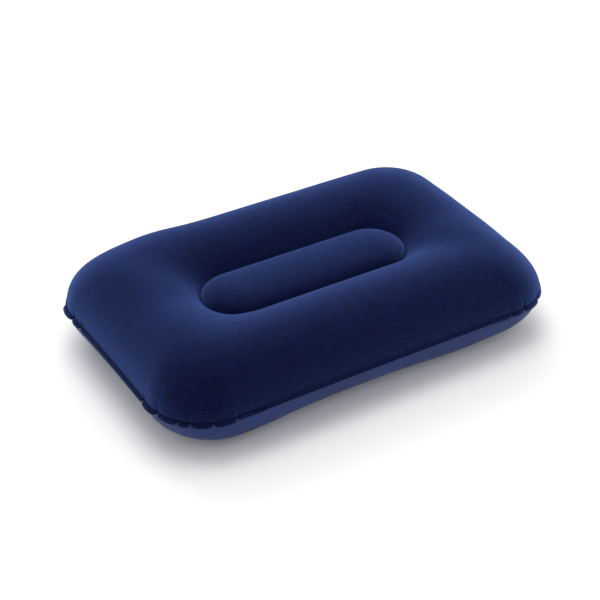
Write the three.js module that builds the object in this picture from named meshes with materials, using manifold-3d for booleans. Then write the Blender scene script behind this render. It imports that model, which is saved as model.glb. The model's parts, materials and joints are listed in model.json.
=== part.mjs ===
// Inflatable camp pillow: a flocked top sheet and a smooth bottom sheet welded round their edges,
// an inner band that ties the two together round a centre bolster, and a flip-cap air valve that
// pulls out of the back wall. Millimetres; +X along the pillow, +Y to its back, +Z up from the floor.
import * as THREE from 'three';
import * as BufferGeometryUtils from 'three/addons/utils/BufferGeometryUtils.js';
import Module from 'manifold-3d';

// Driving dimensions
const HALF_LENGTH = 212;        // seam outline, middle to short end
const HALF_WIDTH = 134.5;       // seam outline, middle to long side
const CORNER_RADIUS = 58;
const SIDE_BOW = 0.015;         // how far the sides draw in between the corners, as a fraction
const SEAM_Z = 43;              // weld seam above the floor
const TOP_CREST = 47.5;         // crest of the top sheet over the seam, along the long sides
const TOP_CREST_END = 44;       // the same at the short ends
const BOTTOM_CREST = 43.5;      // crest of the bottom sheet under the seam, before it rests flat
const TOP_GROOVE = 23;          // groove round the bolster, over the seam
const BOTTOM_GROOVE = 20;       // the same under the seam
const BOLSTER_RISE = 12;        // bolster over its groove
const BAND_HALF_LENGTH = 110;   // inner band, an obround
const BAND_HALF_WIDTH = 35;
const CREST_AT = 0.5;           // crest, as a fraction of the way from the seam to the band
const LAND = 1.5;               // half width of the flat land where a sheet is welded to the band
const MARGIN = 4;               // weld margin outside the seam
const TOP_SHEET = 0.45;         // sheet thicknesses
const BOTTOM_SHEET = 0.35;
const WELD = 0.3;               // thickness of the fused layer between the margins
const GAP = 0.3;                // clearance between neighbouring solids
const BAND_SHEET = 0.5;
const VENT_RADIUS = 7;          // openings in the band that let air into the bolster
const VENT_X = 45;
const OUTLINE_POINTS = 56;
const OUTER_DEGREES = [16, 32, 48, 65, 82, 90];       // rows of a sheet from the seam up to its crest
const INNER_PARTS = [0.13, 0.36, 0.58, 0.8, 1];       // rows from the crest down to the groove
const BOLSTER_DEGREES = [0, 25, 50, 75, 90];          // rows from the groove to the bolster's middle

const VALVE_X = 66;             // valve on the back wall, from the middle
const VALVE_DEPTH = 20;         // valve under the seam
const VALVE_HOLE = 8.3;
const FLANGE_OUTER = 13.5;
const FLANGE_INNER = 7.9;
const FLANGE_THICK = 0.8;
const COLLAR_INNER = 6.9;
const COLLAR_OUTER = 7.5;
const COLLAR_DEPTH = 10;
const STEM_BORE = 3.8;
const STEM_DEPTH = 12;
const STEM_FOOT = 1;            // height of the foot that stops the stem in its collar
const FOOT_STEP = 0.4;
const NECK_RADIUS = 5.2;
const RIM_RADIUS = 6;
const STRAP_Z = 1.7;            // underside of the cap strap over the wall
const STRAP_THICK = 1;
const STRAP_RADIUS = 7.3;
const STRAP_HOLE = 5.5;
const TONGUE_WIDTH = 5;         // tongues of the strap and the cap, up to the fold
const TONGUE_GAP = 0.5;         // from a tongue's end to the fold line
const CAP_Z = 3.9;              // underside of the cap over the wall
const CAP_THICK = 1.5;
const CAP_RADIUS = 6.3;
const PLUG_LENGTH = 3.3;
const PLUG_RADIUS = 3.4;        // at the cap, tapering to the tip
const PLUG_TIP = 2.3;
const FLAP_RADIUS = 4.6;
const FLAP_THICK = 0.5;
const HINGE_X = -10;            // fold line of the strap, beside the valve
const HOLE_CUT = 16;            // length of the cutter for the wall's hole
const ROUND_SEGMENTS = 32;

const wasm = await Module();
wasm.setup();

const pillow = new THREE.Group();

function addMesh(parent, name, geometry, color, roughness) {
  const mesh = new THREE.Mesh(geometry, new THREE.MeshStandardMaterial({ color, roughness, metalness: 0 }));
  mesh.name = name;
  parent.add(mesh);
  return mesh;
}

// ---- Outlines ----

// One quarter of the seam outline, from the short end's middle to the long side's middle.
function quarterOutline() {
  const path = new THREE.Path();
  path.moveTo(HALF_LENGTH, 0);
  path.lineTo(HALF_LENGTH, HALF_WIDTH - CORNER_RADIUS);
  path.absarc(HALF_LENGTH - CORNER_RADIUS, HALF_WIDTH - CORNER_RADIUS, CORNER_RADIUS, 0, Math.PI / 2, false);
  path.lineTo(0, HALF_WIDTH);
  return path.getSpacedPoints(OUTLINE_POINTS / 4);
}

function drawIn(point) {
  const u = point.x / HALF_LENGTH;
  const v = point.y / HALF_WIDTH;
  return new THREE.Vector2(
    point.x * (1 - SIDE_BOW * (1 - v * v) * Math.abs(u) ** 3),
    point.y * (1 - SIDE_BOW * (1 - u * u) * Math.abs(v) ** 3)
  );
}

// The whole outline, anticlockwise, exactly symmetric about both axes.
function seamOutline() {
  const quarter = quarterOutline().map(drawIn);
  quarter[0].y = 0;
  quarter[quarter.length - 1].x = 0;
  const half = [...quarter, ...quarter.slice(0, -1).reverse().map((p) => new THREE.Vector2(-p.x, p.y))];
  return [...half, ...half.slice(1, -1).reverse().map((p) => new THREE.Vector2(p.x, -p.y))];
}

const SEAM = seamOutline();

function offsetOutline(outline, distance) {
  const count = outline.length;
  return outline.map((point, i) => {
    const along = outline[(i + 1) % count].clone().sub(outline[(i + count - 1) % count]).normalize();
    return new THREE.Vector2(point.x + along.y * distance, point.y - along.x * distance);
  });
}

// The point of an obround, of the given half width, that faces a point of the seam outline.
function bandPoint(point, halfWidth) {
  const seamSpan = HALF_LENGTH - HALF_WIDTH;
  const bandSpan = BAND_HALF_LENGTH - BAND_HALF_WIDTH;
  const foot = THREE.MathUtils.clamp(point.x, -seamSpan, seamSpan);
  const reach = new THREE.Vector2(point.x - foot, point.y).setLength(halfWidth);
  return new THREE.Vector2(foot * bandSpan / seamSpan + reach.x, reach.y);
}

// ---- Sheets ----

// Height of the crest by direction: lower at the short ends, full along the sides and corners.
function crestHeight(point, side, end) {
  const angle = Math.atan2(point.y / HALF_WIDTH, point.x / HALF_LENGTH);
  const corner = Math.sin(2 * angle) ** 2;
  return side + (end - side) * Math.cos(angle) ** 2 * (1 - corner);
}

// Rows of points from the margin's edge over the crest to the groove and the bolster's middle.
function sheetRows({ crest, crestEnd, groove, margin, lowest }) {
  const limited = (z) => Math.min(z, lowest);
  const flatRow = (outline, z) => outline.map((p) => new THREE.Vector3(p.x, p.y, z));
  const rows = [flatRow(offsetOutline(SEAM, MARGIN), margin), flatRow(SEAM, margin)];
  const towardsBand = (p, t, z) => {
    const inner = bandPoint(p, BAND_HALF_WIDTH + LAND);
    return new THREE.Vector3(p.x + (inner.x - p.x) * t, p.y + (inner.y - p.y) * t, z);
  };
  for (const degrees of OUTER_DEGREES) {
    const a = THREE.MathUtils.degToRad(degrees);
    rows.push(SEAM.map((p) => {
      const top = crestHeight(p, crest, crestEnd);
      return towardsBand(p, CREST_AT * (1 - Math.cos(a)), limited(top * Math.sin(a)));
    }));
  }
  for (const part of INNER_PARTS) {
    rows.push(SEAM.map((p) => {
      const top = crestHeight(p, crest, crestEnd);
      const last = Math.acos(groove / top);
      const a = last * part;
      const t = CREST_AT + (1 - CREST_AT) * Math.sin(a) / Math.sin(last);
      return towardsBand(p, t, limited(top * Math.cos(a)));
    }));
  }
  for (const degrees of BOLSTER_DEGREES) {
    const a = THREE.MathUtils.degToRad(degrees);
    const halfWidth = (BAND_HALF_WIDTH - LAND) * Math.cos(a);
    rows.push(SEAM.map((p) => {
      const q = bandPoint(p, Math.max(halfWidth, 1e-6));
      const onMiddle = degrees === 90;
      return new THREE.Vector3(q.x, onMiddle ? 0 : q.y, groove + BOLSTER_RISE * Math.sin(a));
    }));
  }
  return rows;
}

// The same grid moved in along its normals, with the thickness kept at every fold between rows.
function insetRows(rows, thickness) {
  const count = rows[0].length;
  const bandNormal = (lower, upper, i) => {
    const across = rows[upper][i].clone().sub(rows[lower][i]);
    const along = rows[lower][(i + 1) % count].clone().sub(rows[lower][(i + count - 1) % count]);
    return along.cross(across).normalize();
  };
  return rows.map((row, r) => row.map((point, i) => {
    if (r === rows.length - 1) {
      return point.clone().setZ(point.z - thickness);
    }
    const above = bandNormal(r, r + 1, i);
    const below = r > 0 ? bandNormal(r - 1, r, i) : above;
    const move = above.clone().add(below).multiplyScalar(-thickness / (1 + above.dot(below)));
    return point.clone().add(move);
  }));
}

// Closed geometry from points and faces: coincident points become one, and faces that fold away go.
function closedGeometry(points, faces) {
  const keys = new Map();
  const merged = [];
  const index = points.map((p) => {
    const key = [p.x, p.y, p.z].map((value) => Math.round(value * 1e3)).join();
    if (!keys.has(key)) {
      keys.set(key, merged.length / 3);
      merged.push(p.x, p.y, p.z);
    }
    return keys.get(key);
  });
  const kept = faces.map((face) => face.map((i) => index[i]))
    .filter(([a, b, c]) => a !== b && b !== c && c !== a);
  const geometry = new THREE.BufferGeometry();
  geometry.setAttribute('position', new THREE.Float32BufferAttribute(merged, 3));
  geometry.setIndex(kept.flat());
  return geometry;
}

// Faces between neighbouring rows of a grid whose rows are closed loops.
function loopFaces(rowCount, count, closed) {
  const faces = [];
  const last = closed ? rowCount : rowCount - 1;
  for (let r = 0; r < last; r++) {
    const low = r * count;
    const high = ((r + 1) % rowCount) * count;
    for (let i = 0; i < count; i++) {
      const next = (i + 1) % count;
      faces.push([low + i, low + next, high + next], [low + i, high + next, high + i]);
    }
  }
  return faces;
}

// Thin shell between a sheet's outer rows and its inset rows, closed round the margin's edge.
function sheetShell(rows, thickness) {
  const inner = insetRows(rows, thickness);
  const grid = [...inner.reverse(), ...rows];
  return { points: grid.flat(), faces: loopFaces(grid.length, rows[0].length, false) };
}

// Closed ring whose rows, in order, go once round its cross-section.
function loopSolid(rows) {
  return closedGeometry(rows.flat(), loopFaces(rows.length, rows[0].length, true));
}

function topSheetGeometry() {
  const rows = sheetRows({
    crest: TOP_CREST,
    crestEnd: TOP_CREST_END,
    groove: TOP_GROOVE,
    margin: WELD / 2 + GAP + TOP_SHEET,
    lowest: Infinity,
  });
  const { points, faces } = sheetShell(rows, TOP_SHEET);
  return closedGeometry(points.map((p) => p.clone().setZ(SEAM_Z + p.z)), faces);
}

function bottomSheetGeometry() {
  const rows = sheetRows({
    crest: BOTTOM_CREST,
    crestEnd: BOTTOM_CREST,
    groove: BOTTOM_GROOVE,
    margin: WELD / 2 + GAP + BOTTOM_SHEET,
    lowest: SEAM_Z,
  });
  const { points, faces } = sheetShell(rows, BOTTOM_SHEET);
  const flipped = faces.map(([a, b, c]) => [a, c, b]);
  return closedGeometry(points.map((p) => p.clone().setZ(SEAM_Z - p.z)), flipped);
}

// ---- Booleans ----

function toManifold(geometry) {
  const bare = geometry.clone();
  bare.deleteAttribute('normal');
  bare.deleteAttribute('uv');
  const merged = BufferGeometryUtils.mergeVertices(bare, 1e-4);
  return new wasm.Manifold(new wasm.Mesh({
    numProp: 3,
    vertProperties: new Float32Array(merged.attributes.position.array),
    triVerts: new Uint32Array(merged.index.array),
  }));
}

function fromManifold(solid) {
  const mesh = solid.getMesh();
  const geometry = new THREE.BufferGeometry();
  geometry.setAttribute('position', new THREE.BufferAttribute(new Float32Array(mesh.vertProperties), 3));
  geometry.setIndex(new THREE.BufferAttribute(new Uint32Array(mesh.triVerts), 1));
  return geometry;
}

function cut(geometry, cutters) {
  const solid = cutters.reduce((left, cutter) => left.subtract(toManifold(cutter)), toManifold(geometry));
  return fromManifold(solid);
}

// ---- Inner band ----

// An I-section ring: a thin wall with a weld foot at each sheet, pierced so air reaches the bolster.
function bandGeometry() {
  const topFace = SEAM_Z + TOP_GROOVE - TOP_SHEET - GAP;
  const bottomFace = SEAM_Z - BOTTOM_GROOVE + BOTTOM_SHEET + GAP;
  const foot = LAND - GAP;
  const wall = BAND_SHEET / 2;
  const section = [
    [-foot, bottomFace], [foot, bottomFace], [foot, bottomFace + BAND_SHEET], [wall, bottomFace + BAND_SHEET],
    [wall, topFace - BAND_SHEET], [foot, topFace - BAND_SHEET], [foot, topFace], [-foot, topFace],
    [-foot, topFace - BAND_SHEET], [-wall, topFace - BAND_SHEET], [-wall, bottomFace + BAND_SHEET],
    [-foot, bottomFace + BAND_SHEET],
  ];
  const rows = section.map(([out, z]) => SEAM.map((p) => {
    const q = bandPoint(p, BAND_HALF_WIDTH + out);
    return new THREE.Vector3(q.x, q.y, z);
  }));
  const vents = [-VENT_X, VENT_X].map((x) => {
    const length = 4 * BAND_HALF_WIDTH;
    const vent = new THREE.CylinderGeometry(VENT_RADIUS, VENT_RADIUS, length, ROUND_SEGMENTS / 2);
    return vent.translate(x, 0, (topFace + bottomFace) / 2);
  });
  return cut(loopSolid(rows), vents);
}

function perimeterWeldGeometry() {
  const section = [[GAP, -WELD / 2], [MARGIN - GAP, -WELD / 2], [MARGIN - GAP, WELD / 2], [GAP, WELD / 2]];
  const rows = section.map(([out, z]) => (
    offsetOutline(SEAM, out).map((p) => new THREE.Vector3(p.x, p.y, SEAM_Z + z))
  ));
  return loopSolid(rows);
}

// ---- Valve ----

// The back wall under the seam: y for a place along the pillow and a depth under the seam.
function backWallY(x, depth) {
  const a = Math.asin(depth / BOTTOM_CREST);
  const t = CREST_AT * (1 - Math.cos(a));
  const seamY = HALF_WIDTH * (1 - SIDE_BOW * (1 - (x / HALF_LENGTH) ** 2));
  return seamY + (BAND_HALF_WIDTH + LAND - seamY) * t;
}

const valveGroup = new THREE.Group();
const valveCentre = new THREE.Vector3(VALVE_X, backWallY(VALVE_X, VALVE_DEPTH), SEAM_Z - VALVE_DEPTH);
const step = 0.5;
const wallRun = backWallY(VALVE_X, VALVE_DEPTH - step) - backWallY(VALVE_X, VALVE_DEPTH + step);
const valveTilt = Math.atan2(wallRun, 2 * step);
valveGroup.position.copy(valveCentre);
valveGroup.rotation.x = -Math.PI / 2 - valveTilt;
valveGroup.updateMatrixWorld();

function lathe(profile) {
  const points = [...profile, profile[0]].map(([r, z]) => new THREE.Vector2(r, z));
  return new THREE.LatheGeometry(points, ROUND_SEGMENTS).rotateX(Math.PI / 2);
}

// Welded disc that follows the wall's curve, with the neck's hole through it.
function flangeGeometry() {
  const radii = [FLANGE_INNER, (FLANGE_INNER + FLANGE_OUTER) / 2, FLANGE_OUTER];
  const toLocal = valveGroup.matrixWorld.clone().invert();
  const ring = (radius, lift) => Array.from({ length: ROUND_SEGMENTS }, (_, i) => {
    const a = 2 * Math.PI * i / ROUND_SEGMENTS;
    const onPlane = new THREE.Vector3(radius * Math.cos(a), radius * Math.sin(a), 0);
    const world = onPlane.clone().applyMatrix4(valveGroup.matrixWorld);
    world.y = backWallY(world.x, SEAM_Z - world.z);
    const local = world.applyMatrix4(toLocal);
    return onPlane.setZ(local.z + lift);
  });
  const upper = radii.map((radius) => ring(radius, GAP + FLANGE_THICK)).reverse();
  const lower = radii.map((radius) => ring(radius, GAP));
  return loopSolid([...lower, ...upper]);
}

function collarGeometry() {
  return lathe([
    [COLLAR_INNER, -COLLAR_DEPTH], [COLLAR_OUTER, -COLLAR_DEPTH],
    [COLLAR_OUTER, GAP + FLANGE_THICK], [COLLAR_INNER, GAP + FLANGE_THICK],
  ]);
}

// Mouthpiece tube: a foot that stops it in the collar, a neck for the strap and a rim to blow on.
function stemGeometry() {
  const foot = COLLAR_INNER - GAP;
  const tube = foot - FOOT_STEP;
  const neckBottom = STRAP_Z - GAP;
  const neckTop = STRAP_Z + STRAP_THICK + GAP;
  const top = CAP_Z - GAP;
  return lathe([
    [STEM_BORE, -STEM_DEPTH], [foot, -STEM_DEPTH], [foot, STEM_FOOT - STEM_DEPTH],
    [tube, STEM_FOOT - STEM_DEPTH], [tube, neckBottom], [NECK_RADIUS, neckBottom],
    [NECK_RADIUS, neckTop], [RIM_RADIUS, neckTop], [RIM_RADIUS, top], [STEM_BORE, top],
  ]);
}

// Outline of a disc with a tongue towards the fold line.
function tonguedDisc(radius) {
  const half = TONGUE_WIDTH / 2;
  const start = Math.PI - Math.asin(half / radius);
  const shape = new THREE.Shape();
  shape.moveTo(radius * Math.cos(start), half);
  shape.lineTo(HINGE_X + TONGUE_GAP, half);
  shape.lineTo(HINGE_X + TONGUE_GAP, -half);
  shape.lineTo(radius * Math.cos(start), -half);
  shape.absarc(0, 0, radius, -start, start, false);
  return shape;
}

function extruded(shape, z, depth) {
  const geometry = new THREE.ExtrudeGeometry(shape, { depth, bevelEnabled: false, curveSegments: 20 });
  return geometry.translate(0, 0, z);
}

function strapGeometry() {
  const shape = tonguedDisc(STRAP_RADIUS);
  const hole = new THREE.Path();
  hole.absarc(0, 0, STRAP_HOLE, 0, 2 * Math.PI, true);
  shape.holes.push(hole);
  return extruded(shape, STRAP_Z, STRAP_THICK);
}

// Flip cap: a disc with a tongue to the fold, and a short tapered plug for the bore.
function capGeometry() {
  const tip = CAP_Z - PLUG_LENGTH;
  const middle = CAP_Z + CAP_THICK / 3;
  const plug = lathe([[0, tip], [PLUG_TIP, tip], [PLUG_RADIUS, CAP_Z], [PLUG_RADIUS, middle], [0, middle]]);
  const disc = extruded(tonguedDisc(CAP_RADIUS), CAP_Z, CAP_THICK);
  return fromManifold(toManifold(disc).add(toManifold(plug)));
}

// One-way flap under the stem's inner end.
function flapGeometry() {
  const flap = new THREE.CylinderGeometry(FLAP_RADIUS, FLAP_RADIUS, FLAP_THICK, ROUND_SEGMENTS);
  return flap.rotateX(Math.PI / 2).translate(0, 0, -STEM_DEPTH - GAP - FLAP_THICK / 2);
}

function wallHoleCutter() {
  const cutter = new THREE.CylinderGeometry(VALVE_HOLE, VALVE_HOLE, HOLE_CUT, ROUND_SEGMENTS);
  return cutter.rotateX(Math.PI / 2).applyMatrix4(valveGroup.matrixWorld);
}

// ---- Assembly ----

const NAVY_FLOCK = 0x1c2850;
const NAVY_FILM = 0x323a60;
const NAVY_VALVE = 0x2a3252;

addMesh(pillow, 'top_sheet', topSheetGeometry(), NAVY_FLOCK, 0.95);
addMesh(pillow, 'bottom_sheet', cut(bottomSheetGeometry(), [wallHoleCutter()]), NAVY_FILM, 0.5);
addMesh(pillow, 'perimeter_weld', perimeterWeldGeometry(), NAVY_FILM, 0.6);
addMesh(pillow, 'tension_band', bandGeometry(), NAVY_FILM, 0.5);
addMesh(valveGroup, 'valve_flange', flangeGeometry(), NAVY_VALVE, 0.4);
addMesh(valveGroup, 'valve_collar', collarGeometry(), NAVY_VALVE, 0.4);
addMesh(valveGroup, 'valve_stem', stemGeometry(), NAVY_VALVE, 0.4);
addMesh(valveGroup, 'cap_strap', strapGeometry(), NAVY_VALVE, 0.4);
addMesh(valveGroup, 'valve_cap', capGeometry(), NAVY_VALVE, 0.4);
addMesh(valveGroup, 'check_flap', flapGeometry(), NAVY_VALVE, 0.4);
pillow.add(valveGroup);

export default pillow;
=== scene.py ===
import json
import math

import bpy
import numpy as np
from mathutils import Matrix, Vector


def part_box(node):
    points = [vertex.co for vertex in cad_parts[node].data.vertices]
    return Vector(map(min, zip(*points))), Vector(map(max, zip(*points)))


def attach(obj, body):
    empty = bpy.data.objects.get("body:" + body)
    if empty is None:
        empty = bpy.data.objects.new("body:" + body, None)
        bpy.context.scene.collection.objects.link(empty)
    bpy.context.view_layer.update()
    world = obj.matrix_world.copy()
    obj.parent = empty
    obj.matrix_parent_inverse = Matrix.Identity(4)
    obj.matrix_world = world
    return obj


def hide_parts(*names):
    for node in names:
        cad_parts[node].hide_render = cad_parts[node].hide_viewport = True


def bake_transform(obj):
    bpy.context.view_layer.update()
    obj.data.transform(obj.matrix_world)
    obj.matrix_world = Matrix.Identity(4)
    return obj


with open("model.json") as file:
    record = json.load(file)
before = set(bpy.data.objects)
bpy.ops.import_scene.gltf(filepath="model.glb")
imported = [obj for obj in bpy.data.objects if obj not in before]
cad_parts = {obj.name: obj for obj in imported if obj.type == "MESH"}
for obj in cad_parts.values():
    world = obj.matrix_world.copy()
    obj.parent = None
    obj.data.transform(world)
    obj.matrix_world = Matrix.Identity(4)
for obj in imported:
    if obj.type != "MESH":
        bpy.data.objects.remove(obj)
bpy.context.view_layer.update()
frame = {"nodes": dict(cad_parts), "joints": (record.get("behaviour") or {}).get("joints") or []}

# ---- Sizes, in metres: what the frame gives first, then what repeats the CAD's driving dimensions ----

weld_lo, weld_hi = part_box("perimeter_weld")
top_lo, top_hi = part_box("top_sheet")
SEAM_Z = (weld_lo.z + weld_hi.z) / 2
TOP_CREST = top_hi.z - SEAM_Z   # crest of the top sheet over the seam, along the long sides
HALF_LENGTH = 0.212             # seam outline, middle to short end
HALF_WIDTH = 0.1345             # seam outline, middle to long side
CORNER = 0.058                  # radius of its corners
SIDE_BOW = 0.015                # how far the sides draw in between the corners, as a fraction
TOP_CREST_END = 0.044           # crest of the top sheet at the short ends
BOTTOM_CREST = 0.0435           # crest of the bottom sheet under the seam, before it rests flat
TOP_GROOVE = 0.023              # groove round the bolster, over the seam
BOTTOM_GROOVE = 0.020           # the same under the seam
BOLSTER_RISE = 0.012            # bolster over its groove
BAND_HALF_LENGTH = 0.110        # inner band, an obround
BAND_HALF_WIDTH = 0.035
LAND = 0.0015                   # half width of the flat land where a sheet is welded to the band
MARGIN = 0.004                  # weld margin outside the seam
TOP_SHEET = 0.00045             # sheet thicknesses
BOTTOM_SHEET = 0.00035

# ---- Pleats, lobes and fullness, in mm along the seam ----

MILLI = 0.001
# Each corner's pleats: distance from the corner's middle, going anticlockwise, and depth.
PLEATS = {
    (1, 1): [(-51, 2.6), (-33, 3.4), (-14, 2.4), (4, 3.6), (22, 2.6), (45, 3.2)],
    (-1, 1): [(-52, 2.4), (-35, 3.0), (-17, 2.4), (3, 2.6), (21, 3.2), (47, 4.6), (63, 2.8)],
    (-1, -1): [(-50, 3.0), (-28, 4.4), (-6.5, 2.8), (5, 3.4), (25, 3.2), (47, 2.6)],
    (1, -1): [(-52, 2.8), (-36, 4.2), (-12, 4.4), (26, 3.0), (45, 2.6), (59, 2.0)],
}
# How far the margin stands out at each distance, as a share of its width; the rest of it hangs down.
STANDING_OUT = {
    (1, 1): [(-100, 1), (-60, 0.6), (60, 0.6), (100, 1)],
    (-1, 1): [(-100, 1), (-60, 0.5), (19, 0.3), (23, 1), (75, 1)],
    (-1, -1): [(-75, 1), (-30, 1), (-26, 0.5), (60, 0.5), (75, 0.95)],
    (1, -1): [(-75, 0.95), (-60, 0.5), (-14, 0.5), (-10, 0.3), (60, 0.3), (100, 1)],
}
# Where a sheet is fuller or slacker than its plain profile: corner, distance, reach and amount.
BOTTOM_FULLNESS = [
    ((-1, -1), 60, 50, 0.55), ((1, -1), -95, 55, 0.40), ((1, -1), 30, 50, 0.2),
    ((1, 1), 45, 40, 0.35), ((-1, 1), -70, 60, 0.35), ((-1, 1), 30, 50, 0.15),
]
TOP_FULLNESS = [
    ((-1, 1), -88, 36, 0.36), ((-1, 1), -30, 28, -0.14),
    ((1, -1), 38, 45, -0.36), ((1, 1), 0, 45, -0.05), ((1, 1), -45, 30, -0.14),
]
END_LOBE = 14                   # length of the lobe outside a corner's first and last pleat

# ---- Small shapes, in metres and shares ----

PLEAT_HALF_WIDTH = 0.0009
PLEAT_REACH = 0.0030            # how far up a sheet a pleat runs before it fades
LOBE_REACH = 0.0075             # the same for a lobe between two pleats
DEEPEST_PLEAT = 0.0044          # at this depth a pleat takes up nearly the whole margin
SLIT_SHARE = 0.72               # share of a pleat's depth in its narrow slit; its shoulders have the rest
CREST_AT = 0.5                  # crest, as a fraction of the way from the seam to the band
LAND_PART = 0.06                # part of a row parameter that the land takes up
OUTLINE_STEP = 0.0005           # spacing of the outline's points
SEAM_LIFT = 0.00045             # half the gap between the two sheets at the seam
EDGE_LIFT = 0.00014             # the same at the margin's outer edge
VALVE_COLUMN_STEP = 0.0016      # widest column near the valve
VALVE_COLUMN_REACH = 0.02       # how near that is


# ---- Outline ----

def rounded_outline(count):
    """The seam outline, anticlockwise from the right-hand end, as dense points."""
    points = []
    straight_y, straight_x = HALF_WIDTH - CORNER, HALF_LENGTH - CORNER
    for sx, sy, start in ((1, 1, 0), (-1, 1, 90), (-1, -1, 180), (1, -1, 270)):
        for angle in np.radians(np.linspace(start, start + 90, count)):
            x, y = sx * straight_x + CORNER * math.cos(angle), sy * straight_y + CORNER * math.sin(angle)
            points.append((x, y))
    points = np.array(points)
    dense = []
    for a, b in zip(points, np.roll(points, -1, axis=0)):
        steps = max(1, int(np.hypot(*(b - a)) / OUTLINE_STEP))
        dense.append(a + (b - a) * (np.arange(steps) / steps)[:, None])
    points = np.concatenate(dense)
    u, v = points[:, 0] / HALF_LENGTH, points[:, 1] / HALF_WIDTH
    return np.stack([
        points[:, 0] * (1 - SIDE_BOW * (1 - v ** 2) * np.abs(u) ** 3),
        points[:, 1] * (1 - SIDE_BOW * (1 - u ** 2) * np.abs(v) ** 3),
    ], 1)


OUTLINE = rounded_outline(120)
STEPS = np.hypot(*(np.roll(OUTLINE, -1, axis=0) - OUTLINE).T)
ARC = np.concatenate([[0], np.cumsum(STEPS)])
PERIMETER = ARC[-1]
LOOP = np.vstack([OUTLINE, OUTLINE[:1]])
TANGENT = np.roll(OUTLINE, -8, axis=0) - np.roll(OUTLINE, 8, axis=0)
NORMAL = np.stack([TANGENT[:, 1], -TANGENT[:, 0]], 1) / np.hypot(*TANGENT.T)[:, None]
NORMAL_LOOP = np.vstack([NORMAL, NORMAL[:1]])


def along(table, s):
    """Values of a per-point table at arc lengths s round the outline."""
    return np.stack([np.interp(s % PERIMETER, ARC, table[:, k]) for k in range(table.shape[1])], -1)


def corner_arc(sx, sy):
    """The arc length at the middle of one corner."""
    middle = np.array([sx * (HALF_LENGTH - CORNER), sy * (HALF_WIDTH - CORNER)])
    middle = middle + CORNER * np.array([sx, sy]) / math.sqrt(2)
    return ARC[np.argmin(np.hypot(*(OUTLINE - middle).T))]


CORNER_ARCS = {key: corner_arc(*key) for key in PLEATS}


def from_corner(s, key):
    """Signed distance along the seam from the middle of one corner."""
    return (s - CORNER_ARCS[key] + PERIMETER / 2) % PERIMETER - PERIMETER / 2


def pleat_depth(s):
    """How far each place on the seam is pulled in by its pleat: a narrow slit with one gentler side."""
    depth = np.zeros_like(s)
    for number, (key, pleats) in enumerate(PLEATS.items()):
        for i, (place, deep) in enumerate(pleats):
            away = (from_corner(s, key) - place * MILLI) / PLEAT_HALF_WIDTH
            slit = np.exp(-np.abs(away) ** 1.6)
            lean = 1 if (i + number) % 2 else -1
            shoulder = np.exp(-np.abs(away / np.where(away * lean > 0, 4.5, 1.5)))
            depth = np.maximum(depth, deep * MILLI * (SLIT_SHARE * slit + (1 - SLIT_SHARE) * shoulder))
    return depth


def lobe_swell(s):
    """How far the seam swells out between two neighbouring pleats."""
    swell = np.zeros_like(s)
    for number, (key, pleats) in enumerate(PLEATS.items()):
        ends = [(pleats[0][0] - END_LOBE, 0), *pleats, (pleats[-1][0] + END_LOBE, 0)]
        for i, ((a, _), (b, _)) in enumerate(zip(ends, ends[1:])):
            x = np.clip((from_corner(s, key) - a * MILLI) / ((b - a) * MILLI), 0, 1)
            inner = 0 < i < len(ends) - 2
            size = (0.6 + 0.03 * (b - a)) * MILLI if inner else 0.2 * MILLI
            skew = 0.7 + 0.6 * ((i * 5 + number * 3) % 7) / 6
            swell += size * np.sin(math.pi * x ** skew) ** 0.7
    return swell


def standing_out(s):
    """The share of the margin's width that stands out sideways."""
    share = np.ones_like(s)
    for key, table in STANDING_OUT.items():
        away = from_corner(s, key) / MILLI
        share = np.minimum(share, np.interp(away, [m for m, _ in table], [f for _, f in table]))
    return share


def fullness(s, table):
    """The extra roundness of a profile: 0 is an ellipse, and more is nearer to a box."""
    total = np.zeros_like(s)
    for key, place, reach, amount in table:
        total += amount * np.exp(-((from_corner(s, key) / MILLI - place) / reach) ** 2)
    return total


def column_arcs(fine, medium, coarse, valve_s):
    """Arc lengths of the grid's columns: dense round the pleats and the valve, alike on both long sides."""
    places = np.array([
        CORNER_ARCS[key] + place * MILLI for key, pleats in PLEATS.items() for place, _ in pleats
    ])
    places = np.concatenate([places, PERIMETER - places])
    s, half = 0.0, []
    while s < PERIMETER / 2:
        half.append(s)
        corner = min(abs(from_corner(np.array(s), key)) for key in PLEATS)
        pleat = np.abs(places - s - fine / 2).min()
        step = medium + (coarse - medium) * min(1.0, max(0.0, corner - 0.066) / 0.03)
        step = min(step, fine + (medium - fine) * min(1.0, max(0.0, pleat - 0.0012) / 0.002))
        if abs(s - valve_s) < VALVE_COLUMN_REACH:
            step = min(step, VALVE_COLUMN_STEP)
        s += step
    half = np.array(half) * (PERIMETER / 2 / s)
    return np.concatenate([half, [PERIMETER / 2], PERIMETER - half[:0:-1]])


def mirrored(columns):
    """The column that faces each column across the long axis."""
    return (-np.arange(columns)) % columns


# ---- Sheets ----

def band_point(p, half_width):
    """The point of an obround of that half width which faces a point of the seam outline."""
    seam_span, band_span = HALF_LENGTH - HALF_WIDTH, BAND_HALF_LENGTH - BAND_HALF_WIDTH
    foot = np.clip(p[..., 0], -seam_span, seam_span)
    reach = np.stack([p[..., 0] - foot, p[..., 1]], -1)
    reach /= np.hypot(reach[..., 0], reach[..., 1])[..., None]
    return np.stack([foot * band_span / seam_span, 0 * foot], -1) + reach * half_width


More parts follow.
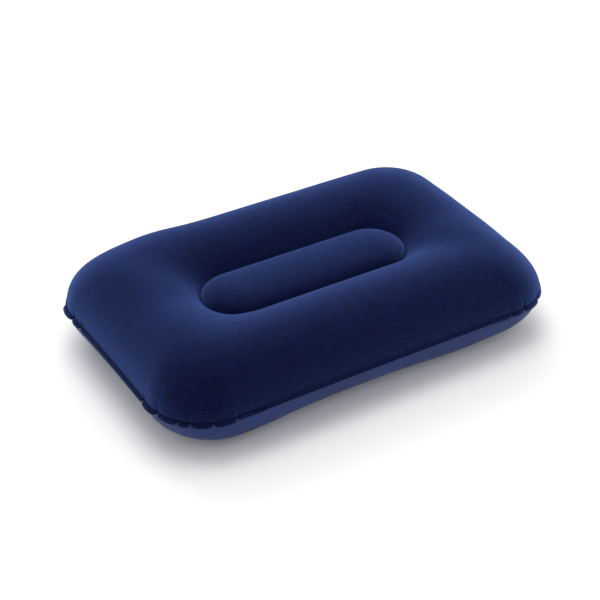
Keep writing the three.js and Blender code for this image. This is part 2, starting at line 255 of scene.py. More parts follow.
def sheet_points(p, w, crest_side, crest_end, groove, full):
    """Places on a sheet. w runs 0 to 1 from the seam to the crest, to 2 at the groove, to 3 at the middle."""
    angle = np.arctan2(p[..., 1] / HALF_WIDTH, p[..., 0] / HALF_LENGTH)
    end = np.cos(angle) ** 2 * (1 - np.sin(2 * angle) ** 2)
    crest = crest_side + (crest_end - crest_side) * end
    if w <= 1:
        a, power = w * math.pi / 2, 2 / (2 + full)
        t, z = CREST_AT * (1 - max(0, math.cos(a)) ** power), crest * math.sin(a) ** power
        q = band_point(p, BAND_HALF_WIDTH + LAND)
        xy = p + (q - p) * t[..., None]
    elif w <= 2:
        last = np.arccos(groove / crest)
        a = last * (w - 1)
        t, z = CREST_AT + (1 - CREST_AT) * np.sin(a) / np.sin(last), crest * np.cos(a)
        q = band_point(p, BAND_HALF_WIDTH + LAND)
        xy = p + (q - p) * t[..., None]
    elif w <= 2 + LAND_PART:
        xy = band_point(p, BAND_HALF_WIDTH + LAND * (1 - 2 * (w - 2) / LAND_PART))
        z = np.full(p.shape[:-1], groove)
    else:
        a = (w - 2 - LAND_PART) / (1 - LAND_PART) * math.pi / 2
        xy = band_point(p, max(1e-7, (BAND_HALF_WIDTH - LAND) * math.cos(a)))
        z = np.full(p.shape[:-1], groove + BOLSTER_RISE * math.sin(a))
        if w >= 3:
            xy[..., 1] = 0
    return np.concatenate([xy, z[..., None]], -1)


def sheet_grid(s, rows, crest_side, crest_end, groove, table):
    """A sheet's places on a grid of rows and columns, over its seam plane."""
    p, full = along(LOOP, s), fullness(s, table)
    return np.array([sheet_points(p, w, crest_side, crest_end, groove, full) for w in rows])


def bolster_rows(count):
    return 2 + LAND_PART + (1 - LAND_PART) * np.linspace(0, 1, count)


def row_places():
    """Row parameters: close together at the seam, where the pleats are, and at the land."""
    near_seam = np.array([0, 0.008, 0.018, 0.03, 0.044, 0.06, 0.078, 0.098, 0.12, 0.145])
    outer = np.linspace(0.18, 1, 20)
    inner = 1 + np.sin(np.linspace(0, 1, 17)[1:] * math.pi / 2)
    land = 2 + LAND_PART * np.array([0.5, 1])
    return np.concatenate([near_seam, outer, inner, land, bolster_rows(13)[1:]])


ROWS = row_places()
MARGIN_PLACES = (1.0, 0.96, 0.8, 0.55, 0.3, 0.1)    # rows of the margin, as a share of its width


def margin_rows(s, sign, swell, depth):
    """The welded margin outside the seam, from its outer edge inwards: a thin flange, hanging in places."""
    p, n = along(LOOP, s), along(NORMAL_LOOP, s)
    share = standing_out(s)
    hang = np.sqrt(np.maximum(0, 1 - share ** 2))
    rows = []
    for f in MARGIN_PLACES:
        kept = 1 - np.clip(depth / DEEPEST_PLEAT, 0, 0.9) * f
        out = MARGIN * share * (f - 0.06 * f ** 3) * kept
        out = out + swell * (0.3 + 0.35 * f * share) - depth * 0.3 * share
        arch = 0.0004 * math.sin(math.pi * min(1, f * 1.02))
        droop = (MARGIN * hang * f ** 1.25 + (0.0003 + swell * (0.25 + 0.35 * share)) * f ** 1.6) * kept
        half = sign * (SEAM_LIFT if f < 1 else EDGE_LIFT)
        out = out + half * hang
        z = arch - droop + half * (0.4 + 0.6 * share)
        rows.append(np.concatenate([p + n * out[:, None], z[:, None]], -1))
    return rows


def puckered(grid, s, swell, depth):
    """Carries the pleats and lobes of the seam up into a sheet, where they fade away."""
    n = along(NORMAL_LOOP, s)
    result = grid.copy()
    run = np.concatenate([[0 * s], np.cumsum(np.linalg.norm(np.diff(grid, axis=0), axis=-1), axis=0)])
    inward = depth * (0.3 * np.exp(-run / PLEAT_REACH) + 0.08 * np.exp(-run / (3 * PLEAT_REACH)))
    outward = swell * 0.3 * np.exp(-(run / LOBE_REACH) ** 1.3)
    result[..., :2] += n[None] * (outward - inward)[..., None]
    result[0, :, 2] += SEAM_LIFT
    return result


def upsampled(field, s_coarse, s_fine):
    """Brings a field of moves from coarse to fine columns, row by row and round the whole outline."""
    s_wrapped = np.concatenate([s_coarse, [s_coarse[0] + PERIMETER]])
    result = np.empty((field.shape[0], len(s_fine), 3))
    for r in range(field.shape[0]):
        row = np.vstack([field[r], field[r][:1]])
        for k in range(3):
            result[r, :, k] = np.interp(s_fine, s_wrapped, row[:, k])
    return result


# ---- Meshes ----

def mesh_object(name, points, faces):
    mesh = bpy.data.meshes.new(name)
    mesh.from_pydata([tuple(p) for p in points], [], [tuple(f) for f in faces])
    mesh.validate()
    mesh.update()
    mesh.polygons.foreach_set("use_smooth", [True] * len(mesh.polygons))
    obj = bpy.data.objects.new(name, mesh)
    bpy.context.scene.collection.objects.link(obj)
    return obj


def grid_faces(rows, columns, flip=False, start=0):
    """Quads between the points of a grid whose columns close round."""
    r, i = np.meshgrid(np.arange(rows - 1), np.arange(columns), indexing="ij")
    j = (i + 1) % columns
    quads = np.stack([r * columns + i, r * columns + j, (r + 1) * columns + j, (r + 1) * columns + i], -1)
    quads = quads.reshape(-1, 4) + start
    return quads[:, ::-1] if flip else quads


def welded(points, faces, tolerance=2e-6):
    """Joins points that coincide and drops faces that fold away.

    Gives the points and faces, the old number of each kept point, and the new number of each old point.
    """
    keys = np.round(np.asarray(points) / tolerance).astype(np.int64)
    _, first, index = np.unique(keys, axis=0, return_index=True, return_inverse=True)
    index = index.ravel()
    kept = []
    for face in index[np.asarray(faces)]:
        ring = [v for k, v in enumerate(face) if v != face[k - 1]]
        if len(set(ring)) == len(ring) and len(ring) >= 3:
            kept.append(ring)
    used = np.unique(np.concatenate([np.array(face) for face in kept]))
    order = np.full(len(first), -1)
    order[used] = np.arange(len(used))
    faces = [[order[v] for v in face] for face in kept]
    return np.asarray(points)[first[used]], faces, first[used], order[index]


def grid_normals(grid):
    """Outward unit normals of a grid whose columns close round and whose rows don't."""
    across = np.gradient(grid, axis=0)
    round_ = np.roll(grid, -1, axis=1) - np.roll(grid, 1, axis=1)
    n = np.cross(round_, across)
    length = np.linalg.norm(n, axis=-1, keepdims=True)
    n = np.where(length > 1e-12, n / np.maximum(length, 1e-12), np.array([0, 0, 1.0]))
    n[-1] = (0, 0, 1)
    return n


# ---- Cloth ----

CLOTH_FRAMES = 16
CLOTH_PRESSURE = 24.0
CLOTH_COLUMN = 0.0052           # width of the cloth grid's columns
LONGEST_MOVE = 0.0035
VALVE_STILL = 0.025             # the wall within this distance of the valve doesn't move
VALVE_EASE = 0.040              # and over this much more it starts to


def inflate(frames, pressure, cap):
    """Blows both sheets up a little as cloth, held at the weld lines, and returns how each place moved."""
    s = column_arcs(CLOTH_COLUMN, CLOTH_COLUMN, CLOTH_COLUMN, 0)
    rows = np.concatenate([np.linspace(0, 1, 11), 1 + np.linspace(0, 1, 10)[1:], bolster_rows(6)])
    top = sheet_grid(s, rows, TOP_CREST, TOP_CREST_END, TOP_GROOVE, TOP_FULLNESS)
    bottom = sheet_grid(s, rows, BOTTOM_CREST, BOTTOM_CREST, BOTTOM_GROOVE, BOTTOM_FULLNESS) * (1, 1, -1)
    count = top.shape[0] * top.shape[1]
    points = np.vstack([top.reshape(-1, 3), bottom.reshape(-1, 3)])
    faces = np.vstack([
        grid_faces(len(rows), len(s)),
        grid_faces(len(rows), len(s), flip=True, start=count),
    ])
    joined, joined_faces, _, index = welded(points, faces)
    held = np.repeat((rows == 0) | (rows >= 2), len(s))
    after = simulated(joined, joined_faces, index[np.concatenate([held, held])], frames, pressure)
    moved = (after - joined)[index]
    length = np.linalg.norm(moved, axis=1, keepdims=True)
    moved *= np.minimum(1, cap / np.maximum(length, 1e-9))
    top_moved = moved[:count].reshape(top.shape)
    bottom_moved = moved[count:].reshape(top.shape) * (1, 1, -1)
    return s, rows, top_moved, bottom_moved


def simulated(points, faces, held, frames, pressure):
    """Where a cloth's points are after some frames under pressure inside, with some of them held."""
    skin = mesh_object("inflating_skin", points, faces)
    group = skin.vertex_groups.new(name="held")
    for v in held:
        group.add([int(v)], 1.0, "REPLACE")
    cloth = skin.modifiers.new("cloth", "CLOTH")
    settings = cloth.settings
    settings.quality = 6
    settings.mass = 0.15
    settings.tension_stiffness = settings.compression_stiffness = 25
    settings.shear_stiffness = 12
    settings.bending_stiffness = 1.5
    settings.use_pressure = True
    settings.uniform_pressure_force = pressure
    settings.vertex_group_mass = "held"
    settings.effector_weights.gravity = 0
    cloth.collision_settings.use_collision = False
    cloth.collision_settings.use_self_collision = False
    cloth.point_cache.frame_start, cloth.point_cache.frame_end = 1, frames
    scene = bpy.context.scene
    for number in range(1, frames + 1):
        scene.frame_set(number)
    evaluated = skin.evaluated_get(bpy.context.evaluated_depsgraph_get())
    after = np.zeros(len(points) * 3)
    evaluated.data.vertices.foreach_get("co", after)
    scene.frame_set(1)
    bpy.data.objects.remove(skin)
    return after.reshape(-1, 3)


def refined(field, s, rows, s_fine, rows_fine):
    """A coarse field of moves, brought to the fine grid's rows and columns."""
    by_column = upsampled(field, s, s_fine)
    result = np.empty((len(rows_fine), len(s_fine), 3))
    for k in range(3):
        for c in range(len(s_fine)):
            result[:, c, k] = np.interp(rows_fine, rows, by_column[:, c, k])
    return result


# ---- Materials ----

FLOCK_COLOR = (0.0014, 0.0019, 0.0150)      # the pile seen straight on; its sheen gives most of the blue
FLOCK_SHEEN = 0.62
FLOCK_SHEEN_TINT = (0.19, 0.34, 1.0)
PRESSED_COLOR = (0.0022, 0.0030, 0.0230)    # where the weld has pressed the pile flat
# painted shade: the near-black given to creases, pleat slits and the margin's edges
PAINTED_CREASE_SHADE = (0.0004, 0.0005, 0.0020)
FILM_COLOR = (0.0122, 0.029, 0.126)
FIBRE_SCALE, TUFT_SCALE, BRUSHED_SCALE = 2600, 620, 90      # the pile's noises, per metre
DRIFT_SCALE, GRAIN_SCALE, POLISH_SCALE = 26, 1500, 70       # the film's


def scaled(color, factor):
    return tuple(min(1.0, channel * factor) for channel in color)


def new_material(name):
    material = bpy.data.materials.new(name)
    material.use_nodes = True
    nodes, links = material.node_tree.nodes, material.node_tree.links
    return material, nodes, links, nodes["Principled BSDF"]


def noise(nodes, links, coords, scale, detail=3.0, roughness=0.5):
    node = nodes.new("ShaderNodeTexNoise")
    node.inputs["Scale"].default_value = scale
    node.inputs["Detail"].default_value = detail
    node.inputs["Roughness"].default_value = roughness
    links.new(coords, node.inputs["Vector"])
    return node.outputs["Fac"]


def ramp(nodes, links, factor, stops):
    """A colour that runs through (place, colour) stops as the factor grows."""
    node = nodes.new("ShaderNodeValToRGB")
    elements = node.color_ramp.elements
    while len(elements) < len(stops):
        elements.new(0.5)
    for element, (place, color) in zip(elements, stops):
        element.position = place
        element.color = (*color, 1)
    links.new(factor, node.inputs["Fac"])
    return node.outputs["Color"]


def mix_color(nodes, links, factor, a, b):
    node = nodes.new("ShaderNodeMix")
    node.data_type = "RGBA"
    for socket, value in ((node.inputs["Factor"], factor), (node.inputs["A"], a), (node.inputs["B"], b)):
        if isinstance(value, bpy.types.NodeSocket):
            links.new(value, socket)
        else:
            socket.default_value = value if isinstance(value, float) else (*value, 1)
    return node.outputs["Result"]


def bump(nodes, links, height, distance, strength=1.0, under=None):
    node = nodes.new("ShaderNodeBump")
    node.inputs["Distance"].default_value = distance
    node.inputs["Strength"].default_value = strength
    links.new(height, node.inputs["Height"])
    if under is not None:
        links.new(under, node.inputs["Normal"])
    return node.outputs["Normal"]


def object_coords(nodes):
    return nodes.new("ShaderNodeTexCoord").outputs["Object"]


def attribute(nodes, name):
    node = nodes.new("ShaderNodeAttribute")
    node.attribute_name = name
    return node.outputs["Fac"]


def flock_material():
    """Flocked vinyl: short dense pile, matt, darker where it is seen straight on, with shade painted into its
    creases, pleat slits and margin edges.
    """
    material, nodes, links, shader = new_material("navy_flock")
    coords = object_coords(nodes)
    fibres = noise(nodes, links, coords, FIBRE_SCALE, 2, 0.7)
    tufts = noise(nodes, links, coords, TUFT_SCALE, 3, 0.75)
    brushed = noise(nodes, links, coords, BRUSHED_SCALE, 4, 0.7)
    pile = ramp(nodes, links, tufts, [(0.37, scaled(FLOCK_COLOR, 0.02)), (0.63, scaled(FLOCK_COLOR, 4.2))])
    worn = ramp(nodes, links, brushed, [(0.36, scaled(FLOCK_COLOR, 0.1)), (0.64, scaled(FLOCK_COLOR, 1.8))])
    color = mix_color(nodes, links, 0.35, pile, worn)
    color = mix_color(nodes, links, attribute(nodes, "pressed"), color, PRESSED_COLOR)
    # painted shade: the pile darkens to near-black along creases, pleat slits and the margin's edges
    color = mix_color(nodes, links, attribute(nodes, "crease_shade"), color, PAINTED_CREASE_SHADE)
    links.new(color, shader.inputs["Base Color"])
    shader.inputs["Roughness"].default_value = 0.95
    shader.inputs["Specular IOR Level"].default_value = 0.02
    shader.inputs["Sheen Weight"].default_value = FLOCK_SHEEN
    shader.inputs["Sheen Roughness"].default_value = 0.46
    shader.inputs["Sheen Tint"].default_value = (*FLOCK_SHEEN_TINT, 1)
    fine = bump(nodes, links, fibres, 0.0003, 0.8)
    links.new(bump(nodes, links, tufts, 0.0006, 0.7, fine), shader.inputs["Normal"])
    return material


def film_material(name, base, roughness=0.45, grain=1.0):
    """Calendered vinyl film: satin, with a faint grain and slow colour drift, and shade painted into creases,
    pleat slits and margin edges where the mesh marks them.
    """
    material, nodes, links, shader = new_material(name)
    coords = object_coords(nodes)
    drift = noise(nodes, links, coords, DRIFT_SCALE, 3, 0.5)
    grain_noise = noise(nodes, links, coords, GRAIN_SCALE, 3, 0.6)
    color = ramp(nodes, links, drift, [(0.3, scaled(base, 0.88)), (0.7, scaled(base, 1.12))])
    # painted shade: the film darkens to a fifth of its colour along creases, pleat slits and the margin's
    # edges
    color = mix_color(nodes, links, attribute(nodes, "crease_shade"), color, scaled(base, 0.2))
    links.new(color, shader.inputs["Base Color"])
    rough = nodes.new("ShaderNodeMapRange")
    rough.inputs["To Min"].default_value = roughness - 0.05
    rough.inputs["To Max"].default_value = roughness + 0.09
    links.new(noise(nodes, links, coords, POLISH_SCALE, 3, 0.5), rough.inputs["Value"])
    links.new(rough.outputs["Result"], shader.inputs["Roughness"])
    shader.inputs["IOR"].default_value = 1.5
    shader.inputs["Specular IOR Level"].default_value = 0.18
    links.new(bump(nodes, links, grain_noise, 0.00006 * grain, 0.5), shader.inputs["Normal"])
    return material


FLOCK = flock_material()
FILM = film_material("navy_film", FILM_COLOR)
FUSED = film_material("navy_fused_film", scaled(FILM_COLOR, 0.25), 0.5, 1.6)
INNER = film_material("navy_inner_film", FILM_COLOR, 0.5)
VALVE = film_material("navy_valve_vinyl", scaled(FILM_COLOR, 0.75), 0.32, 0.6)


def finish_piece(obj, material, body, slot, *nodes):
    """Gives a piece its material and body, and hides the CAD nodes that it stands for; slot is not used."""
    obj.data.materials.clear()
    obj.data.materials.append(material)
    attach(obj, body)
    if nodes:
        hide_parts(*nodes)
    return obj


# ---- Valve frame, from its joints ----

joints = {joint["name"]: joint for joint in frame["joints"]}
OUTWARD = Vector(joints["valve_pull"]["axis"]).normalized()
FOLD = Vector(joints["cap_flip"]["pos_m"])
FOLD_REACH = 0.010              # the cap's fold line, beside the valve's axis and over the wall
FOLD_HEIGHT = 0.0033
VALVE_CENTRE = FOLD + Vector((FOLD_REACH, 0, 0)) - OUTWARD * FOLD_HEIGHT
ALONG_X = Vector((1, 0, 0))
DOWN_WALL = OUTWARD.cross(ALONG_X)
TO_VALVE = Matrix((
    (ALONG_X.x, DOWN_WALL.x, OUTWARD.x, VALVE_CENTRE.x),
    (ALONG_X.y, DOWN_WALL.y, OUTWARD.y, VALVE_CENTRE.y),
    (ALONG_X.z, DOWN_WALL.z, OUTWARD.z, VALVE_CENTRE.z),
    (0, 0, 0, 1),
))
WALL_HOLE = 0.0083              # radius of the hole in the wall


# ---- Sheets, built ----

valve_arc = ARC[np.argmin(np.hypot(*(OUTLINE - np.array([VALVE_CENTRE.x, HALF_WIDTH])).T))]
COLUMNS = column_arcs(fine=0.00042, medium=0.0013, coarse=0.0055, valve_s=valve_arc)
DEPTH = pleat_depth(COLUMNS)
SWELL = lobe_swell(COLUMNS)

cloth_columns = cloth_rows = top_moved = bottom_moved = None
cloth_columns, cloth_rows, top_moved, bottom_moved = inflate(CLOTH_FRAMES, CLOTH_PRESSURE, LONGEST_MOVE)
to_valve = np.abs((cloth_columns - valve_arc + PERIMETER / 2) % PERIMETER - PERIMETER / 2)
freed = np.clip((to_valve - VALVE_STILL) / VALVE_EASE, 0, 1)
bottom_moved *= (freed * freed * (3 - 2 * freed))[None, :, None]


def skin_grid(sign, crest_side, crest_end, groove, table, moved):
    """One sheet's outer face over its seam plane: margin, then wall, crest, groove and bolster."""
    grid = sheet_grid(COLUMNS, ROWS, crest_side, crest_end, groove, table)
    if moved is not None:
        grid = grid + refined(moved, cloth_columns, cloth_rows, COLUMNS, ROWS)
    grid = puckered(grid, COLUMNS, SWELL, DEPTH)
    grid[-1] = (grid[-1] + grid[-1][mirrored(len(COLUMNS))]) / 2
    margin = np.array(margin_rows(COLUMNS, sign, SWELL, DEPTH)) * (1, 1, sign)
    return np.concatenate([margin, grid])


def sheet_object(name, grid, sign, thickness, hole=None):
    """A closed thin shell from one face's grid, turned over for the bottom sheet and flat where it rests."""
    inner = grid - grid_normals(grid) * thickness
    layers = []
    for layer, lowest in ((inner[::-1], thickness if sign < 0 else 0), (grid, 0)):
        layer = layer.copy()
        layer[:, :, 2] = np.maximum(SEAM_Z + sign * layer[:, :, 2], lowest)
        layers.append(layer)
    points = np.concatenate(layers)
    rows, columns = points.shape[:2]
    pressed, crease_shade = shading(rows, columns)
    points = points.reshape(-1, 3)
    faces = grid_faces(rows, columns, flip=sign < 0)
    if hole is not None:
        centre, axis, radius = hole
        offset = points - np.array(centre)
        height = offset @ np.array(axis)
        radial = np.linalg.norm(offset - height[:, None] * np.array(axis), axis=1)
        inside = (radial < radius) & (np.abs(height) < 0.01)
        faces = faces[~inside[faces].any(axis=1)]
    points, faces, kept, _ = welded(points, faces)
    obj = mesh_object(name, points, faces)
    # stores the weld-pressed field and the painted crease shade on the points
    for label, field in (("pressed", pressed), ("crease_shade", crease_shade)):
        attribute = obj.data.attributes.new(label, "FLOAT", "POINT")
        attribute.data.foreach_set("value", field.ravel()[kept])
    return obj


CREASE_SHADE_OVER_SEAM = (0.9, 0.45, 0.15, 0.0)   # painted shade along the crease over the seam: how dark a sheet's first rows are painted, and all after them
CREASE_SHADE_ROWS = 5                             # rows over which the painted shade down a pleat's slit fades


def shading(rows, columns):
    """Two fields over a shell's grid: where the film is pressed by the weld, and where shade is painted into
    its creases, pleat slits and margin edges.
    """
    pressed, crease_shade = np.zeros((rows, columns)), np.zeros((rows, columns))
    half, margin_count = rows // 2, len(MARGIN_PLACES)
    # painted shade down each pleat's slit, darker for deeper pleats
    slit = np.clip(DEPTH / (DEEPEST_PLEAT / 2), 0, 1) ** 1.5
    for r in range(half):
        above = r - margin_count
        on_margin = above < 0
        # painted shade across the margin, or along the crease just over the seam
        line = margin_painted_shade(MARGIN_PLACES[r]) if on_margin else CREASE_SHADE_OVER_SEAM[min(3, above)]
        fade = max(0.0, 1 - max(0, above) / CREASE_SHADE_ROWS)
        for layer in (half + r, half - 1 - r):
            pressed[layer] = 1.0 if on_margin else 0.0
            crease_shade[layer] = np.maximum(line, slit * fade)
    return pressed, crease_shade


def margin_painted_shade(f):
    """How much shade is painted on the margin across its width: at its outer edge and in the crease, not
    between.
    """
    return max(1 - (1 - f) / 0.12, 1 - f / 0.3, 0)


top_grid = skin_grid(1, TOP_CREST, TOP_CREST_END, TOP_GROOVE, TOP_FULLNESS, top_moved)
bottom_grid = skin_grid(-1, BOTTOM_CREST, BOTTOM_CREST, BOTTOM_GROOVE, BOTTOM_FULLNESS, bottom_moved)
top_sheet = sheet_object("top_sheet_skin", top_grid, 1, TOP_SHEET)
wall_hole = (VALVE_CENTRE, OUTWARD, WALL_HOLE)
bottom_sheet = sheet_object("bottom_sheet_skin", bottom_grid, -1, BOTTOM_SHEET, wall_hole)
finish_piece(top_sheet, FLOCK, "root", "flocked_film", "top_sheet")
finish_piece(bottom_sheet, FILM, "root", "smooth_film", "bottom_sheet")


BEAD_SIDES = 8
BEAD_OUT, BEAD_UP = 0.00035, 0.00032        # half axes of the bead's section


def weld_bead():
    """The fused edge between the two margins: a thin bead that follows the lip's outer edge."""
    upper, lower = top_grid[0], bottom_grid[0]
    z_mid = (upper[:, 2] - lower[:, 2]) / 2
    middle = np.stack([(upper[:, 0] + lower[:, 0]) / 2, (upper[:, 1] + lower[:, 1]) / 2, z_mid], -1)
    n = along(NORMAL_LOOP, COLUMNS)
    rings = []
    for k in range(BEAD_SIDES):
        a = 2 * math.pi * k / BEAD_SIDES
        up = np.full((len(n), 1), BEAD_UP * math.sin(a))
        ring = middle + np.concatenate([n * (BEAD_OUT * math.cos(a)), up], -1)
        ring[:, 2] += SEAM_Z
        rings.append(ring)
    rings.append(rings[0])
    quads = grid_faces(len(rings), len(COLUMNS), flip=True)
    points, faces, _, _ = welded(np.array(rings).reshape(-1, 3), quads)
    return mesh_object("weld_bead", points, faces)


bead = finish_piece(weld_bead(), FUSED, "root", "fused_film", "perimeter_weld")

frame["nodes"]["tension_band"].data.materials.clear()
frame["nodes"]["tension_band"].data.materials.append(INNER)


# ---- Valve, built in its own frame in mm: x along the wall, y down it, z outwards ----

AROUND = 96
SHARP_FOLD = math.radians(50)
STRAP_LOW, STRAP_HIGH = 1.7, 2.7
CAP_LOW, CAP_HIGH = 3.9, 5.4
FLAP_LOW = -12.8
NO_SIZE = 1e-4                  # radius of a loop that closes a skin
PLUG_LENGTH = 3.3
FOLD_BULGE, FOLD_HALF_WIDTH = 1.25, 1.8
COLLAR_THICK = 0.45
TONGUE_POWER = 0.45             # how square a tongue's end is: 1 is an ellipse


def circle(radius, z):
    a = 2 * math.pi * np.arange(AROUND) / AROUND
    return np.stack([radius * np.cos(a), radius * np.sin(a), 0 * a + z], -1)


def tabbed(radius, half, reach, z):
    """A circle with a rounded tongue on its -x side, as one loop of points.

    The tongue runs the other way round from the circle, so the loop crosses itself at the tongue's root.
    """
    loop = circle(radius, z)
    spread = math.asin(min(0.99, half / radius))
    a = 2 * math.pi * np.arange(AROUND) / AROUND
    u = (a - math.pi) / spread
    on = np.abs(u) <= 1
    psi = u[on] * math.pi / 2
    start = radius * math.cos(spread)
    loop[on, 0] = -(start + (reach - start) * np.cos(psi) ** TONGUE_POWER)
    loop[on, 1] = half * np.sign(psi) * np.abs(np.sin(psi)) ** TONGUE_POWER
    return loop


def loft(name, loops, round_=False):
    """A skin over loops of points. It ends in loops of no size, or with round_ it joins its first loop."""
    rings = [np.asarray(loop) for loop in loops]
    if round_:
        rings = rings + [rings[0]]
    points, faces, _, _ = welded(np.concatenate(rings) * MILLI, grid_faces(len(rings), AROUND), 1e-7)
    piece = mesh_object(name, points, faces)
    piece.data.set_sharp_from_angle(angle=SHARP_FOLD)
    piece.data.transform(TO_VALVE)
    return piece


def tube_profile(name, outline):
    """A closed ring of revolution through (radius, z) points."""
    return loft(name, [circle(radius, z) for radius, z in outline], round_=True)


def wall_surface():
    """The wall's height over the valve's frame, as a quadratic fitted to the sheet round the hole."""
    co = np.empty(len(bottom_sheet.data.vertices) * 3)
    bottom_sheet.data.vertices.foreach_get("co", co)
    local = (co.reshape(-1, 3) - np.array(VALVE_CENTRE)) @ np.array([ALONG_X, DOWN_WALL, OUTWARD]).T
    local /= MILLI
    radius = np.hypot(local[:, 0], local[:, 1])
    near = local[(radius > 8) & (radius < 15) & (np.abs(local[:, 2]) < 4)]
    x, y = near[:, 0], near[:, 1]
    terms = np.stack([x ** 0, x, y, x ** 2, x * y, y ** 2], -1)
    k = np.linalg.lstsq(terms, near[:, 2], rcond=None)[0]
    rise = BOTTOM_SHEET / MILLI / 2

    def height(loop):
        x, y = loop[:, 0], loop[:, 1]
        return k[0] + k[1] * x + k[2] * y + k[3] * x ** 2 + k[4] * x * y + k[5] * y ** 2 + rise

    return height


def flange(height):
    """The welded patch round the valve: it follows the wall, with a pressed ring and a thin edge."""
    profile = [
        (7.9, 0.05), (7.9, 0.75), (8.15, 1.05), (8.6, 1.1), (9.1, 0.85), (9.8, 0.75), (10.3, 0.78),
        (10.6, 0.98), (11.0, 1.0), (11.3, 0.8), (11.9, 0.7), (12.8, 0.55), (13.35, 0.4), (13.5, 0.2),
        (13.45, 0.05), (10.5, 0.02),
    ]
    loops = []
    for radius, z in profile:
        loop = circle(radius, 0)
        loop[:, 2] = height(loop) + z
        loops.append(loop)
    return loft("valve_flange_skin", loops, round_=True)


def collar():
    """The soft sleeve that lets the stem be pulled out: it dips inside, with two shallow folds."""
    outer = [
        (7.75, 0.9), (7.8, 0.2), (8.02, -0.3), (8.02, -0.85), (7.6, -1.5), (7.35, -2.6), (7.45, -4.2),
        (7.4, -5.6), (7.2, -7.0), (7.3, -8.4), (6.9, -10),
    ]
    inner = [(r - COLLAR_THICK, z) for r, z in outer[::-1]]
    return tube_profile("valve_collar_skin", outer + inner)


def stem():
    """The mouthpiece: a tube with a foot inside, a neck for the strap and a rim over it."""
    profile = [
        (3.8, -12), (6.4, -12), (6.6, -11.8), (6.6, -11.2), (6.4, -11), (6.2, -10.9), (6.2, 1.0),
        (6.05, 1.3), (5.8, 1.4), (5.25, 1.45), (5.2, 1.6), (5.2, 2.9), (5.4, 3.0), (5.85, 3.0),
        (6.0, 3.12), (6.0, 3.42), (5.85, 3.58), (4.3, 3.6), (3.95, 3.52), (3.8, 3.3),
    ]
    return tube_profile("valve_stem_skin", profile)


def strap():
    """The ring that sits in the stem's neck, with the tongue that carries the cap."""
    z0, z1 = STRAP_LOW, STRAP_HIGH
    loops = [
        circle(5.5, z0 + 0.2), circle(5.6, z0 + 0.02), circle(5.8, z0),
        tabbed(7.1, 2.3, 9.3, z0), tabbed(7.25, 2.45, 9.45, z0 + 0.08), tabbed(7.3, 2.5, 9.5, z0 + 0.25),
        tabbed(7.3, 2.5, 9.5, z1 - 0.25), tabbed(7.25, 2.45, 9.45, z1 - 0.08), tabbed(7.1, 2.3, 9.3, z1),
        circle(5.8, z1), circle(5.6, z1 - 0.02), circle(5.5, z1 - 0.2),
    ]
    return loft("cap_strap_skin", loops, round_=True)


def cap():
    """The stopper: a rounded disc with a tongue to the fold, a dimple on top and a tapered plug under it."""
    z0, z1, tip = CAP_LOW, CAP_HIGH, CAP_LOW - PLUG_LENGTH
    loops = [
        circle(NO_SIZE, tip), circle(1.9, tip), circle(2.2, tip + 0.1), circle(2.35, tip + 0.35),
        circle(3.2, z0 - 0.4), circle(3.4, z0 - 0.05), circle(3.7, z0),
        tabbed(6.0, 1.9, 9.1, z0), tabbed(6.22, 2.1, 9.3, z0 + 0.1), tabbed(6.3, 2.2, 9.4, z0 + 0.35),
        tabbed(6.3, 2.2, 9.4, z1 - 0.5), tabbed(6.2, 2.1, 9.3, z1 - 0.2), tabbed(5.95, 1.85, 9.05, z1 - 0.04),
        circle(5.5, z1), circle(4.6, z1 - 0.02), circle(4.2, z1 - 0.22), circle(3.6, z1 - 0.38),
        circle(2.0, z1 - 0.45), circle(NO_SIZE, z1 - 0.46),
    ]
    return loft("valve_cap_skin", loops)


def fold():
    """The thin living hinge that joins the strap's tongue to the cap's, bent round the fold line."""
    low, high = (STRAP_LOW + STRAP_HIGH) / 2, CAP_LOW + 0.5
    middle, rise = (low + high) / 2, (high - low) / 2
    path = [(-8.2, low), (-9.2, low)]
    for a in np.radians(np.linspace(-90, 90, 13)):
        path.append((-9.5 - FOLD_BULGE * math.cos(a), middle + rise * math.sin(a)))
    path += [(-9.2, high), (-8.2, high)]
    path = np.array(path)
    across = np.gradient(path, axis=0)
    across = np.stack([-across[:, 1], across[:, 0]], -1) / np.hypot(*across.T)[:, None]
    points, faces = [], []
    section = [
        (1, 0.12), (0.92, 0.25), (-0.92, 0.25), (-1, 0.12), (-1, -0.12), (-0.92, -0.25), (0.92, -0.25),
        (1, -0.12),
    ]
    for (x, z), n in zip(path, across):
        for wide, thick in section:
            points.append((x + n[0] * thick, wide * FOLD_HALF_WIDTH, z + n[1] * thick))
    count = len(section)
    for i in range(len(path) - 1):
        for k in range(count):
            j = (k + 1) % count
            faces.append((i * count + k, i * count + j, (i + 1) * count + j, (i + 1) * count + k))
    faces += [tuple(range(count)), tuple(range((len(path) - 1) * count, len(path) * count))[::-1]]
    piece = mesh_object("cap_fold", np.array(points) * MILLI, faces)
    piece.data.transform(TO_VALVE)
    return piece


def check_flap():
    """The one-way flap: a thin disc with a rounded edge."""
    z0 = FLAP_LOW
    loops = [
        circle(NO_SIZE, z0), circle(4.3, z0), circle(4.55, z0 + 0.1), circle(4.6, z0 + 0.25),
        circle(4.55, z0 + 0.4), circle(4.3, z0 + 0.5), circle(NO_SIZE, z0 + 0.5),
    ]
    return loft("check_flap_skin", loops)


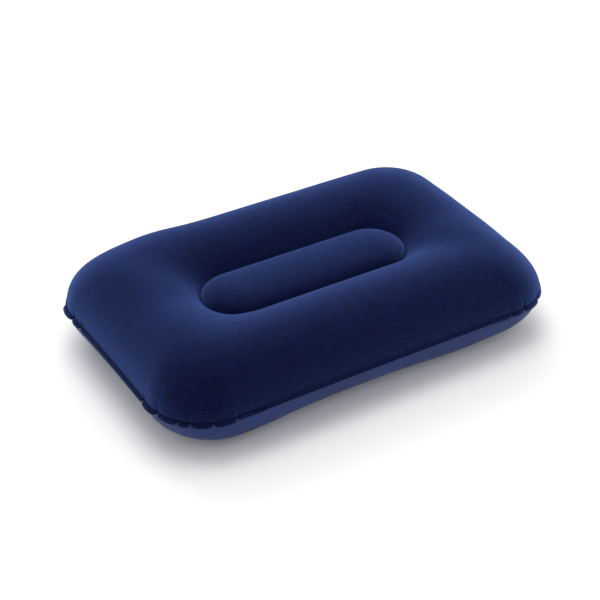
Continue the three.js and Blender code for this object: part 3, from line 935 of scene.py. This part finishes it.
finish_piece(flange(wall_surface()), VALVE, "root", "valve_vinyl", "valve_flange")
sleeve = collar()
sleeve.data.materials.append(VALVE)
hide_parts("valve_collar")
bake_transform(sleeve)
finish_piece(stem(), VALVE, "stem", "valve_vinyl", "valve_stem")
finish_piece(strap(), VALVE, "stem", "cap_vinyl", "cap_strap")
finish_piece(cap(), VALVE, "cap", "cap_vinyl", "valve_cap")
hinge = fold()
hinge.data.materials.append(VALVE)
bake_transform(hinge)
finish_piece(check_flap(), VALVE, "flap", "valve_vinyl", "check_flap")


# ---- Floor, light and camera ----

FLOOR_SIZE, FLOOR_SHADE = 40, 0.93
SKY_LIGHT = 0.85
CAMERA_AZIMUTH, CAMERA_ELEVATION, CAMERA_ROLL = math.radians(-32.15), math.radians(34.07), math.radians(0.47)
CAMERA_DISTANCE = 1.4618
CAMERA_LENS = 90.56
AIM_LEFT, AIM_DOWN = 0.0050, 0.0087         # from the seam's middle to the middle of the picture


def floor():
    """A plain pale floor, far wider than the view."""
    bpy.ops.mesh.primitive_plane_add(size=FLOOR_SIZE, location=(0, 0, 0))
    plane = bpy.context.object
    plane.name = "studio_floor"
    material, _, _, shader = new_material("studio_floor")
    shader.inputs["Base Color"].default_value = (FLOOR_SHADE, FLOOR_SHADE, FLOOR_SHADE, 1)
    shader.inputs["Roughness"].default_value = 0.8
    plane.data.materials.append(material)


def area_light(name, place, size, power, aim=(0, 0, 0.04)):
    """A soft rectangular light that faces the pillow."""
    data = bpy.data.lights.new(name, "AREA")
    data.shape = "RECTANGLE"
    data.size, data.size_y = size
    data.energy = power
    light = bpy.data.objects.new(name, data)
    light.location = place
    light.rotation_euler = (Vector(aim) - Vector(place)).to_track_quat("-Z", "Y").to_euler()
    bpy.context.scene.collection.objects.link(light)


def studio():
    """Even white light from all round, with soft lights behind and above."""
    bpy.context.scene.view_settings.view_transform = "Standard"
    world = bpy.data.worlds.new("studio")
    bpy.context.scene.world = world
    world.use_nodes = True
    world.node_tree.nodes["Background"].inputs["Color"].default_value = (1, 1, 1, 1)
    world.node_tree.nodes["Background"].inputs["Strength"].default_value = SKY_LIGHT
    area_light("back_light", (0.4, 1.5, 1.3), (1.8, 0.9), 14)
    area_light("top_light", (-0.1, 0.2, 1.6), (1.4, 1.0), 8.5)


def camera():
    """The photo's view: front left, from above, with a long lens."""
    azimuth, elevation, roll = CAMERA_AZIMUTH, CAMERA_ELEVATION, CAMERA_ROLL
    level = math.cos(elevation)
    back = Vector((math.sin(azimuth) * level, -math.cos(azimuth) * level, math.sin(elevation)))
    right = Vector((math.cos(azimuth), math.sin(azimuth), 0))
    up = back.cross(right)
    right, up = right * math.cos(roll) + up * math.sin(roll), up * math.cos(roll) - right * math.sin(roll)
    middle = Vector((0, 0, SEAM_Z))
    place = middle + back * CAMERA_DISTANCE
    aim = middle - right * AIM_LEFT - up * AIM_DOWN
    data = bpy.data.cameras.new("camera")
    data.lens = CAMERA_LENS
    data.sensor_width = 36
    data.clip_start, data.clip_end = 0.05, 50
    view = bpy.data.objects.new("camera", data)
    forward = (aim - place).normalized()
    side = forward.cross(up).normalized()
    true_up = side.cross(forward)
    view.matrix_world = Matrix((
        (side.x, true_up.x, -forward.x, place.x),
        (side.y, true_up.y, -forward.y, place.y),
        (side.z, true_up.z, -forward.z, place.z),
        (0, 0, 0, 1),
    ))
    bpy.context.scene.collection.objects.link(view)
    bpy.context.scene.camera = view


floor()
studio()
camera()
